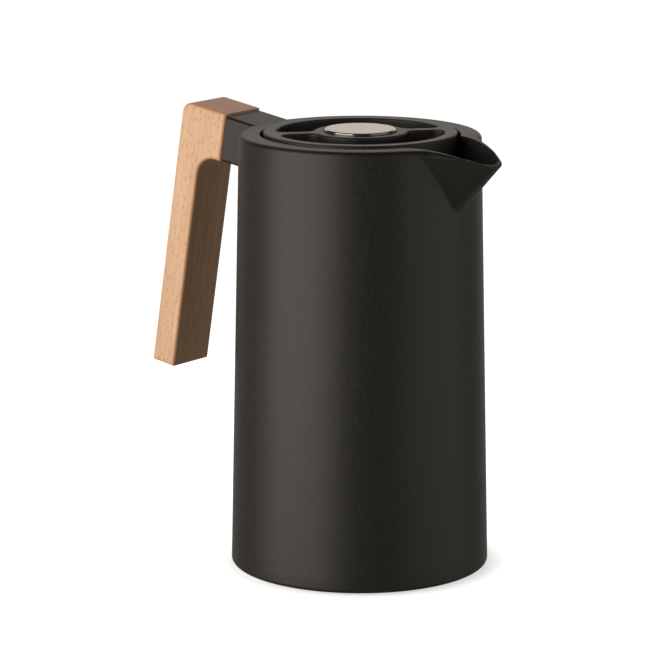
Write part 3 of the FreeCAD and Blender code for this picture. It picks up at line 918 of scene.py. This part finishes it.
def dress(pieces):
    """Gives every piece and every node of the frame the material of its slot."""
    materials = {
        "black_body": moulded_plastic("black_body", body_dark, body_light, 0.39, 0.51, specular=0.42),
        "black_lid": moulded_plastic("black_lid", lid_dark, lid_light, 0.40, 0.50, specular=0.46),
        "beech": beech(),
        "button_steel": button_steel(),
        "flask_steel": satin_metal("flask_steel", flask_tint, 0.28, 0.38, scale=900.0),
        "screw_steel": satin_metal("screw_steel", screw_tint, 0.25, 0.35),
        "insert_brass": satin_metal("insert_brass", brass_tint, 0.25, 0.35),
        "silicone": soft_rubber("silicone", silicone_dark, silicone_light, specular=0.4),
        "base_rubber": soft_rubber("base_rubber", rubber_dark, rubber_light, specular=0.3),
    }
    for subpart in frame["record"]["subparts"]:
        cad = frame["nodes"][subpart["node"]]
        cad.data.materials.clear()
        cad.data.materials.append(materials[subpart["material_slot"]])
    for piece in pieces:
        piece.data.materials.append(materials[piece["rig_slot"]])


# Studio
def make_floor():
    """White floor that keeps the jug's contact shadow, with a painted glow that is lower at the base and
    full white a little way out, hiding the rest of the cast shadow; it casts none, and reflections don't
    show it.
    """
    bpy.ops.mesh.primitive_circle_add(
        vertices=floor_corners, radius=floor_radius, fill_type="NGON", location=(0, 0, 0))
    floor = bpy.context.object
    floor.name = "floor"
    material = bpy.data.materials.new("floor")
    material.use_nodes = True
    tree = material.node_tree
    tree.nodes.clear()
    camera_ray = node(tree, "ShaderNodeLightPath").outputs["Is Camera Ray"]
    reach = length_of(tree, node(tree, "ShaderNodeTexCoord").outputs["Object"])
    # Painted light: the glow rises with distance from the base, so the lamps' cast shadow shows only at the
    # base
    strength = ramp(tree, reach, (base_radius, floor_painted_glow_reach * base_radius), floor_glow_at_base)
    glow = times(tree, camera_ray, strength)
    lit = {"Color": colour((1, 1, 1)), "Strength": glow}
    white = node(tree, "ShaderNodeEmission", lit).outputs["Emission"]
    tone = mixed(tree, camera_ray, colour((1, 1, 1), floor_bounce), colour((1, 1, 1), floor_seen))
    matt = node(tree, "ShaderNodeBsdfDiffuse", {"Color": tone}).outputs["BSDF"]
    both = node(tree, "ShaderNodeAddShader", {0: white, 1: matt}).outputs["Shader"]
    node(tree, "ShaderNodeOutputMaterial", {"Surface": both})
    floor.data.materials.append(material)
    floor.visible_glossy = False
    floor.visible_shadow = False


def make_world(away):
    """Dim room with a white backdrop that mirrors show on the far side; white all round to the camera."""
    world = bpy.data.worlds.new("studio")
    world.use_nodes = True
    tree = world.node_tree
    tree.nodes.clear()
    path = node(tree, "ShaderNodeLightPath").outputs
    way = node(tree, "ShaderNodeTexCoord").outputs["Generated"]
    facing = node(tree, "ShaderNodeVectorMath", {0: way, 1: away}, operation="DOT_PRODUCT").outputs["Value"]
    height = parts_of(tree, way)["Z"]
    band = times(tree, ramp(tree, height, backdrop_foot), ramp(tree, height, backdrop_top, 1.0, 0.0))
    backdrop = times(tree, ramp(tree, facing, backdrop_side), band)
    either = {0: path["Is Glossy Ray"], 1: path["Is Transmission Ray"]}
    rays = node(tree, "ShaderNodeMath", either, operation="MAXIMUM").outputs["Value"]
    above = ramp(tree, height, horizon)
    dim = mixed(tree, above, colour(warm_white, low_light), colour(warm_white, high_light))
    room = mixed(tree, times(tree, rays, backdrop), dim, colour(warm_white, backdrop_light))
    tone = mixed(tree, path["Is Camera Ray"], room, colour((1, 1, 1)))
    light = node(tree, "ShaderNodeBackground", {"Color": tone, "Strength": 1.0}).outputs["Background"]
    node(tree, "ShaderNodeOutputWorld", {"Surface": light})
    bpy.context.scene.world = world


def panel(name, place, target, width, tall, radiance):
    """Soft panel light of a given radiance, turned to a target."""
    data = bpy.data.lights.new(name, "AREA")
    data.shape = "RECTANGLE"
    data.size = width
    data.size_y = tall
    data.color = warm_white
    data.energy = radiance * math.pi * width * tall
    lamp = bpy.data.objects.new(name, data)
    lamp.location = place
    lamp.rotation_euler = (target - place).to_track_quat("-Z", "Y").to_euler()
    lamp.visible_camera = False
    bpy.context.scene.collection.objects.link(lamp)


def side_panel(name, turn, half_width, radiance):
    """Upright panel, by its turn from the camera's side and its half width."""
    sight = camera_place - camera_target
    angle = math.atan2(sight.y, sight.x) + math.radians(turn)
    height = (panel_low + panel_top) / 2
    place = Vector((panel_distance * math.cos(angle), panel_distance * math.sin(angle), height))
    width = 2 * panel_distance * math.tan(math.radians(half_width))
    panel(name, place, Vector((0, 0, height)), width, panel_top - panel_low, radiance)


def back_panel(away):
    """Square panel above and behind the jug."""
    place = away * back_panel_distance + Vector((0, 0, back_panel_z))
    panel("back", place, Vector((0, 0, rim_z)), back_panel_size, back_panel_size, back_radiance)


def make_camera():
    """Camera that sees the jug as the photograph does."""
    data = bpy.data.cameras.new("camera")
    data.lens = camera_lens
    data.sensor_width = camera_sensor
    camera = bpy.data.objects.new("camera", data)
    camera.location = camera_place
    camera.rotation_euler = (camera_target - camera_place).to_track_quat("-Z", "Y").to_euler()
    bpy.context.scene.collection.objects.link(camera)
    bpy.context.scene.camera = camera


pieces = [make_shell(), make_grip(), make_arm(), make_lid(), make_button(), make_spring()]
dress(pieces)
away = camera_target - camera_place
away = Vector((away.x, away.y, 0)).normalized()
make_floor()
make_world(away)
back_panel(away)
side_panel("key", key_turn, key_half_width, key_radiance)
side_panel("fill", fill_turn, fill_half_width, fill_radiance)
make_camera()
bpy.context.scene.view_settings.view_transform = "Standard"
